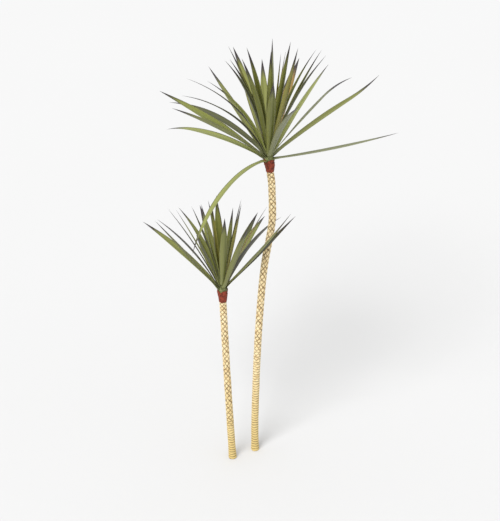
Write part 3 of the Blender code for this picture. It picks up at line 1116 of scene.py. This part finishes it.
@dataclass(frozen=True)
class Blade:
    """A straight leaf blade that stands along +Z with its channelled upper face towards -Y.

    It is modelled once for each head. Each leaf is a copy, drawn out to its length, twisted, bent and set at
    its foot.
    """

    width: float
    length: float
    root: float = 0.008  # runs on below the foot, into the head
    across: int = 6
    along: int = 36
    thickness: float = 1.6 * MILLIMETRE
    crease: float = 0.12  # of the width
    clasp: float = 0.3  # of the width, that the foot is wider than the solid's, where it clasps the head
    clasp_length: float = 0.05  # of the length

    def outline(self, share: float) -> float:
        """The blade's width at this share of its length, against its greatest."""
        share = min(max(share, 0.0), 1.0)
        return leaf_width_share(share) + self.clasp * math.exp(-((share / self.clasp_length) ** 2))

    def model(self) -> bpy.types.Object:
        """Model the blade from a grid: its outline and its crease, then its thickness."""
        bpy.ops.object.select_all(action="DESELECT")
        bpy.ops.mesh.primitive_grid_add(
            x_subdivisions=self.across, y_subdivisions=self.along, size=1, rotation=(math.pi / 2, 0, 0)
        )
        blade = bpy.context.view_layer.objects.active
        blade.data.uv_layers[0].name = BLADE_MAP
        bpy.ops.transform.resize(value=(self.width, 1, self.length + self.root), center_override=(0, 0, 0))
        bpy.ops.object.transform_apply(location=True, rotation=True, scale=True)
        bpy.ops.transform.translate(value=(0, 0, (self.length - self.root) / 2))
        bpy.ops.object.transform_apply(location=True, rotation=True, scale=True)
        body = blade.vertex_groups.new(name="body")
        for vertex in blade.data.vertices:
            side = abs(vertex.co.x) / (self.width / 2)
            wide = self.outline(vertex.co.z / self.length)
            vertex.co.x *= wide
            vertex.co.y = self.crease * self.width * wide * (1 - side**1.2)
            body.add([vertex.index], (1 - side**2) * math.sqrt(wide), "REPLACE")
        apply_modifier(
            blade,
            "SOLIDIFY",
            thickness=self.thickness,
            offset=0.0,
            vertex_group=body.name,
            thickness_vertex_group=0.0,
        )
        merge_doubles(blade, 0.01 * MILLIMETRE)
        blade.vertex_groups.clear()
        self.lay_out(blade)
        pick(blade)
        bpy.ops.object.shade_smooth()
        return blade

    def lay_out(self, blade: bpy.types.Object) -> None:
        """Lay the upper and the lower face out side by side, and count the root as the foot."""
        corners = map_of(blade, BLADE_MAP).astype(float)
        whole = self.length + self.root
        corners[:, 1] = np.clip((corners[:, 1] * whole - self.root) / self.length, 0, 1)
        set_map(blade, BLADE_MAP, corners)
        upper = np.array([face.normal.y < 0 for face in blade.data.polygons])[each_face(blade)]
        laid = corners.copy()
        laid[:, 0] = np.where(upper, 0.02 + 0.46 * corners[:, 0], 0.98 - 0.46 * corners[:, 0])
        set_map(blade, NEATLY_BAKED, laid)

    def grow(self, blade: bpy.types.Object, name: str, leaf: Leaf, foot: Vector) -> bpy.types.Object:
        """Copy the blade and bend the copy along its leaf.

        Args:
            blade: The straight blade.
            name: The copy's name.
            leaf: The leaf that it follows.
            foot: Where the leaf's centre line starts.

        Returns:
            The leaf's piece, in place.
        """
        copy = copy_of(blade, name)
        put_in_place(copy, Matrix.Diagonal((1, 1, leaf.length / self.length, 1)))
        whole = 1 + self.root / self.length
        if leaf.twist:
            apply_modifier(
                copy,
                "SIMPLE_DEFORM",
                deform_method="TWIST",
                deform_axis="Z",
                angle=leaf.twist,
                limits=(1 - 1 / whole, 1 - (1 - TWISTED_BY) / whole),
            )
        if leaf.curl:
            kink = Matrix.Translation((0, 0, CURL_FROM * leaf.length))
            put_in_place(copy, kink.inverted())
            apply_modifier(
                copy,
                "SIMPLE_DEFORM",
                deform_method="BEND",
                deform_axis="X",
                angle=-leaf.curl,
                limits=(1 - (1 - CURL_FROM) / whole, 1),
            )
            put_in_place(copy, kink)
        if leaf.bend:
            apply_modifier(
                copy, "SIMPLE_DEFORM", deform_method="BEND", deform_axis="X", angle=leaf.bend * whole
            )
        put_in_place(
            copy,
            Matrix.Translation(foot)
            @ Matrix.Rotation(leaf.azimuth - math.pi / 2, 4, "Z")
            @ Matrix.Rotation(leaf.rise - math.pi / 2, 4, "X"),
        )
        return copy


@dataclass(frozen=True)
class Crown:
    """A head's leaves and the heart that they spring from."""

    name: str
    head: Head
    sides: int = 40
    steps: int = 8
    point: float = 0.4  # of the heart's top radius
    sheaths: Husks = Husks(rows=3, in_row=6, width=0.026, length=0.022)

    def leaves(self, kind: str, leaves: Sequence[Leaf], finishes: dict[Tint, bpy.types.Material]) -> Any:
        """Grow leaves of one kind and join them.

        Args:
            kind: The kind of leaf, for the piece's name.
            leaves: The leaves.
            finishes: The blade's finish for each tint.

        Returns:
            The joined piece.
        """
        blade = Blade(leaves[0].width, self.head.leaf_length)
        straight = blade.model()
        pieces = []
        for number, leaf in enumerate(leaves):
            foot = self.head.leaf_foot(leaf)
            piece = blade.grow(straight, f"{self.name}_{kind}_{number}", leaf, foot)
            piece.data.materials.append(finishes[leaf.tip.tint])
            laid = map_of(piece, NEATLY_BAKED)
            laid[:, 0] = (laid[:, 0] + number) / len(leaves)
            set_map(piece, NEATLY_BAKED, laid)
            pieces.append(piece)
        bpy.data.objects.remove(straight)
        return join(f"{self.name}_{kind}_leaves", pieces)

    def heart(self) -> bpy.types.Object:
        """Model the heart by extruding a disc upwards in steps that narrow to a low point."""
        head = self.head
        bpy.ops.object.select_all(action="DESELECT")
        bpy.ops.mesh.primitive_circle_add(
            vertices=self.sides, radius=head.radius(0), fill_type="NGON", location=head.foot
        )
        heart = bpy.context.view_layer.objects.active
        bpy.ops.object.mode_set(mode="EDIT")
        step = Vector((0, 0, head.height / self.steps))
        for i in range(self.steps):
            grown = head.radius(step.z * (i + 1)) / head.radius(step.z * i)
            bpy.ops.mesh.extrude_region_move(TRANSFORM_OT_translate={"value": step})
            bpy.ops.transform.resize(value=(grown, grown, 1), center_override=head.foot + step * (i + 1))
        bpy.ops.mesh.extrude_region_move(
            TRANSFORM_OT_translate={"value": (0, 0, head.top_radius * self.point)}
        )
        bpy.ops.mesh.merge(type="CENTER")
        bpy.ops.mesh.select_all(action="SELECT")
        bpy.ops.mesh.normals_make_consistent(inside=False)
        bpy.ops.object.mode_set(mode="OBJECT")
        bpy.ops.object.transform_apply(location=True, rotation=True, scale=True)
        top = head.foot + Vector((0, 0, head.height))
        sheaths = self.sheaths.wrap(head.foot, top, lambda share: head.radius(share * head.height))
        heart = join(f"{self.name}_heart_core", [heart, *sheaths])
        pick(heart)
        bpy.ops.object.shade_smooth_by_angle(angle=math.radians(50))
        return heart

    def build(self, taken: list[BVHTree], finishes: dict[Tint, bpy.types.Material]) -> None:
        """Grow the crown, dress it and let it stand for its solids.

        Args:
            taken: The surfaces there already, to which its own are added.
            finishes: The blade's finish for each tint.
        """
        spread, young = grow(self.head, taken)
        outer = self.leaves("spread", spread, finishes)
        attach(outer, "root")
        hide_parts(*(f"{self.name}_leaf_{number:02}" for number in range(1, len(spread) + 1)))
        inner = self.leaves("young", young, finishes)
        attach(inner, "root")
        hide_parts(f"{self.name}_heart")
        heart = self.heart()
        heart.data.materials.clear()
        heart.data.materials.append(HeartFinish().make())
        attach(heart, "root")
        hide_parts(f"{self.name}_heart")
        LOG.info("%s crown: %d spread and %d young leaves", self.name, len(spread), len(young))


# The plant

TALL_STEM = Stem(
    name="tall",
    line=(
        Vector((0, 0, 0)),
        Vector((0, 0, 0.200)),
        Vector((0.012, 0, 0.585)),
        Vector((0.0345, 0, 0.929)),
        Vector((0.066, 0, 1.147)),
        Vector((0.070, 0, 1.235)),
        Vector((0.066, 0, 1.356)),
        Vector((0.059, 0, 1.414)),
    ),
    net_foot=0.30,
    net_full=0.75,
    seed=11,
)
SHORT_STEM = Stem(
    name="short",
    line=(
        Vector((-0.100, -0.059, 0)),
        Vector((-0.112, -0.059, 0.240)),
        Vector((-0.124, -0.059, 0.500)),
        Vector((-0.137, -0.059, 0.825)),
    ),
    net_foot=0.12,
    net_full=0.30,
    seed=23,
)
TALL_HEAD = Head(
    foot=Vector((0.053, 0, 1.460)),
    height=0.060,
    foot_radius=0.0201,
    top_radius=0.0101,
    leaf_width=0.036,
    leaf_length=0.55,
    lowest=0.009,
    highest=0.047,
    young=15,
    tips=(
        # Low leaves behind, from left to right
        Tip(-0.415, 0.128, 30, AWAY, curl=-8, twist=-6, tint=Tint.BRIGHT),
        Tip(-0.405, 0.238, 45, AWAY, tint=Tint.DEEP),
        Tip(-0.245, 0.385, 5, AWAY, twist=20, tint=Tint.OLIVE),
        Tip(-0.145, 0.465, 20, AWAY, tint=Tint.OLIVE),
        Tip(-0.120, 0.380, 20, AWAY, tint=Tint.DEEP),
        Tip(-0.075, 0.330, 15, AWAY, tint=Tint.DEEP),
        Tip(-0.027, 0.415, 10, AWAY, 0.45, tint=Tint.OLIVE),
        Tip(0.090, 0.365, 10, AWAY, tint=Tint.DEEP),
        Tip(0.125, 0.420, 20, AWAY, tint=Tint.RUSSET),
        Tip(0.245, 0.395, 15, AWAY, twist=-30, tint=Tint.BRIGHT),
        Tip(0.450, 0.350, 14, AWAY, 0.56, curl=20, twist=-4, tint=Tint.OLIVE),
        # Leaves at the left and in front, outermost first
        Tip(-0.310, -0.380, 80, length=0.57, twist=22, tint=Tint.BRIGHT),
        Tip(-0.445, 0.285, 10, twist=-35, tint=Tint.BRIGHT),
        Tip(-0.395, 0.215, 20, twist=-20, tint=Tint.OLIVE),
        Tip(-0.355, 0.265, 45, twist=6, tint=Tint.SHADED),
        Tip(-0.335, 0.335, 40, twist=6, tint=Tint.SHADED),
        Tip(-0.250, 0.325, 30, tint=Tint.BRIGHT),
        Tip(-0.180, 0.410, 30, tint=Tint.DEEP),
        Tip(-0.160, 0.415, 25, length=0.52, tint=Tint.OLIVE),
        Tip(-0.165, 0.468, 15, tint=Tint.YELLOW),
        Tip(-0.110, 0.418, 20, tint=Tint.OLIVE),
        Tip(-0.090, 0.462, 20, tint=Tint.OLIVE),
        # Short leaves in the middle
        Tip(0.010, 0.448, 0, length=0.45, tint=Tint.OLIVE),
        Tip(0.018, 0.498, 0, length=0.48, tint=Tint.GREY),
        Tip(0.050, 0.440, 0, length=0.43, tint=Tint.YELLOW),
        Tip(0.070, 0.448, 5, length=0.44, tint=Tint.RUSSET),
        # Leaves in front and at the right, outermost last
        Tip(0.020, 0.320, 15, tint=Tint.OLIVE),
        Tip(0.125, 0.220, 28, twist=10, tint=Tint.GREY),
        Tip(0.090, 0.485, 5, tint=Tint.OLIVE),
        Tip(0.120, 0.460, 0, tint=Tint.YELLOW),
        Tip(0.195, 0.455, 20, tint=Tint.OLIVE),
        Tip(0.217, 0.453, 12, twist=-8, tint=Tint.OLIVE),
        Tip(0.235, 0.430, 20, twist=-8, tint=Tint.DEEP),
        Tip(0.340, 0.340, 6, curl=-18, twist=20, tint=Tint.GREY),
        Tip(0.530, 0.115, -7, twist=-4, tint=Tint.GREY),
    ),
)
SHORT_HEAD = Head(
    foot=Vector((-0.139, -0.059, 0.871)),
    height=0.052,
    foot_radius=0.0191,
    top_radius=0.0091,
    leaf_width=0.034,
    leaf_length=0.44,
    lowest=0.0065,
    highest=0.044,
    young=8,
    tips=(
        # Low leaves behind, from left to right
        Tip(-0.335, 0.295, 20, AWAY, 0.455, tint=Tint.OLIVE),
        Tip(-0.110, 0.240, 15, AWAY, tint=Tint.DEEP),
        Tip(-0.095, 0.365, 20, AWAY, tint=Tint.OLIVE),
        Tip(-0.015, 0.355, 20, AWAY, tint=Tint.YELLOW),
        Tip(0.150, 0.335, 20, AWAY, tint=Tint.DEEP),
        Tip(0.180, 0.320, 30, AWAY, tint=Tint.OLIVE),
        Tip(0.250, 0.315, 50, AWAY, 0.455, twist=-28, tint=Tint.SHADED),
        # Leaves at the left, outermost first
        Tip(-0.285, 0.300, 5, tint=Tint.OLIVE),
        Tip(-0.275, 0.305, 24, tint=Tint.SHADED),
        Tip(-0.230, 0.350, 16, twist=10, tint=Tint.SHADED),
        Tip(-0.195, 0.345, 8, tint=Tint.OLIVE),
        Tip(-0.185, 0.355, 22, length=0.46, twist=30, tint=Tint.OLIVE),
        Tip(-0.130, 0.360, 10, tint=Tint.DEEP),
        Tip(-0.090, 0.370, 5, tint=Tint.OLIVE),
        # Short leaves in the middle
        Tip(-0.060, 0.385, 10, length=0.42, tint=Tint.OLIVE),
        Tip(-0.045, 0.370, 0, length=0.40, tint=Tint.YELLOW),
        Tip(-0.025, 0.405, 0, length=0.38, tint=Tint.OLIVE),
        Tip(0.045, 0.355, 0, length=0.41, tint=Tint.OLIVE),
        Tip(0.080, 0.370, 0, length=0.42, tint=Tint.YELLOW),
        Tip(0.080, 0.390, 5, length=0.42, tint=Tint.DEEP),
        # Leaves in front and at the right, outermost last
        Tip(0.010, 0.310, 0, tint=Tint.OLIVE),
        Tip(0.110, 0.270, 5, tint=Tint.OLIVE),
        Tip(0.190, 0.360, 10, tint=Tint.RUSSET),
        Tip(0.290, 0.330, -12, tint=Tint.OLIVE),
        Tip(0.310, 0.320, 0, twist=8, tint=Tint.DEEP),
    ),
)


@dataclass(frozen=True)
class Plant:
    """One stem of the tree with its collar and its crown."""

    stem: Stem
    head: Head

    def build(self, taken: list[BVHTree], finishes: dict[Tint, bpy.types.Material]) -> None:
        """Build the stem, the collar and the crown.

        Args:
            taken: The surfaces there already, to which its own are added.
            finishes: The blade's finish for each tint.
        """
        collar = Collar(self.stem.name, self.stem.line[-1], self.head.foot)
        bark = self.stem.build(BarkFinish())
        LOG.info("%s: %d faces", bark.name, len(bark.data.polygons))
        husks = collar.build(LeafBaseFinish())
        LOG.info("%s: %d faces", husks.name, len(husks.data.polygons))
        taken += [surface(self.stem.solid_rings_of()), surface(collar.solid_rings_of())]
        Crown(self.stem.name, self.head).build(taken, finishes)


@dataclass(frozen=True)
class Studio:
    """A plain pale floor, soft light and the camera at the front view."""

    floor_size: float = 80.0
    sky: float = 0.93
    sun: float = 2.5
    sun_width: float = math.radians(28)
    sun_from: Vector = Vector((-0.35, -0.62, 0.85))

    def floor(self) -> None:
        """Lay the floor, level with the stems' flat cut."""
        bpy.ops.object.select_all(action="DESELECT")
        bpy.ops.mesh.primitive_plane_add(size=self.floor_size)
        floor = bpy.context.view_layer.objects.active
        floor.name = "floor"
        floor.data.materials.append(FloorFinish().make())
        floor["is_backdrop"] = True

    def light(self) -> None:
        """Light the plant by a wide soft sun and an even pale sky."""
        world = bpy.data.worlds.new("studio")
        world.use_nodes = True
        background = world.node_tree.nodes["Background"]
        background.inputs["Color"].default_value = (1, 1, 1, 1)
        background.inputs["Strength"].default_value = self.sky
        bpy.context.scene.world = world
        bpy.ops.object.select_all(action="DESELECT")
        bpy.ops.object.light_add(type="SUN", location=self.sun_from * 5)
        lamp = bpy.context.view_layer.objects.active
        lamp.name = "soft_sun"
        lamp.rotation_euler = self.sun_from.to_track_quat("Z", "Y").to_euler()
        lamp.data.energy = self.sun
        lamp.data.angle = self.sun_width

    def camera(self) -> None:
        """Set the camera at the front view."""
        bpy.ops.object.camera_add(location=VIEWPOINT, rotation=(math.pi / 2 - VIEW_TILT, 0, 0))
        camera = bpy.context.view_layer.objects.active
        camera.name = "front_view"
        camera.data.sensor_width = SENSOR
        camera.data.lens = FOCAL_PIXELS / IMAGE_HEIGHT * SENSOR
        bpy.context.scene.camera = camera

    def build(self) -> None:
        """Set up the studio."""
        self.floor()
        self.light()
        self.camera()
        bpy.context.scene.view_settings.view_transform = "Standard"


def corners(box: Sequence[Vector]) -> list[list[float]]:
    """A box's two corners as plain lists of numbers."""
    return [list(corner) for corner in box]


def main() -> None:
    """Build the tree's looks, work out the sizes before and after, and report each piece."""
    logging.basicConfig(level=logging.INFO, format="%(name)s: %(message)s")
    cad_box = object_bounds()
    finishes = {tint: BladeFinish(tint).make() for tint in Tint}
    taken: list[BVHTree] = []
    Plant(TALL_STEM, TALL_HEAD).build(taken, finishes)
    Plant(SHORT_STEM, SHORT_HEAD).build(taken, finishes)
    Studio().build()
    {"cad": corners(cad_box), "visual": corners(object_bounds())}
    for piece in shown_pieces():
        LOG.info("%s: %d vertices", piece.name, len(piece.data.vertices))


if __name__ == "__main__":
    main()
